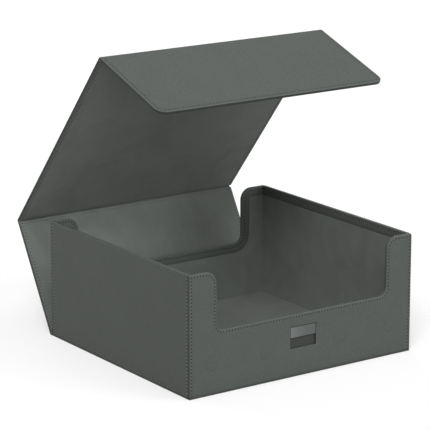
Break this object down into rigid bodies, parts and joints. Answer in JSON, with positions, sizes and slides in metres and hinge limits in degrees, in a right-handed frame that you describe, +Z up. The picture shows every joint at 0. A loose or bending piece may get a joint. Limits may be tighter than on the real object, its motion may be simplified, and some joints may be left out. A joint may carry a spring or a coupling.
{
  "type": "card storage case",
  "caption": "Low open tray of leather-wrapped board with windowed front and rear walls and a folding cover in hinged panels that closes on magnets, for storing collector cards.",
  "frame": {"origin": "middle of the tray's underside", "axes": "+X to the right across the windowed front, +Y to the back where the cover is hinged, +Z up"},
  "size_m": [0.2568, 0.3008, 0.2913],
  "materials": {
    "skin": "matte",
    "lining": "matte",
    "board": "matte",
    "plate": "satin",
    "magnet": "satin",
    "well": "matte"
  },
  "bodies": {
    "tray": {"floor_board": "board", "floor_lining": "lining", "floor_skin": "skin", "front_magnets": "magnet", "front_wall_board": "board", "front_wall_lining": "lining", "front_wall_skin": "skin", "label_well": "well", "left_wall_board": "board", "left_wall_lining": "lining", "left_wall_skin": "skin", "name_plate": "plate", "rear_wall_board": "board", "rear_wall_lining": "lining", "rear_wall_skin": "skin", "right_wall_board": "board", "right_wall_lining": "lining", "right_wall_skin": "skin", "base_crease": "skin"},
    "back_panel": {"back_panel_board": "board", "back_panel_skin": "skin", "back_panel_lining": "lining", "rear_crease": "skin"},
    "top_panel": {"top_panel_board": "board", "top_panel_skin": "skin", "top_panel_lining": "lining", "flap_crease": "skin"},
    "flap": {"flap_board": "board", "flap_skin": "skin", "flap_lining": "lining", "flap_magnets": "magnet"}
  },
  "joints": [
    {"name": "base_hinge", "type": "hinge", "parent": "tray", "child": "back_panel", "pos_m": [0, 0.1222, 0.0003], "axis": [-1, 0, 0], "range_deg": [-30, 60], "deforming": ["base_crease"]},
    {"name": "rear_fold", "type": "hinge", "parent": "back_panel", "child": "top_panel", "pos_m": [0, 0.1818, 0.10353], "axis": [-1, 0, 0], "range_deg": [-20.2, 69.8], "deforming": ["rear_crease"]},
    {"name": "flap_fold", "type": "hinge", "parent": "top_panel", "child": "flap", "pos_m": [0, 0.02536, 0.2913], "axis": [-1, 0, 0], "range_deg": [-20.2, 69.8], "deforming": ["flap_crease"]}
  ]
}
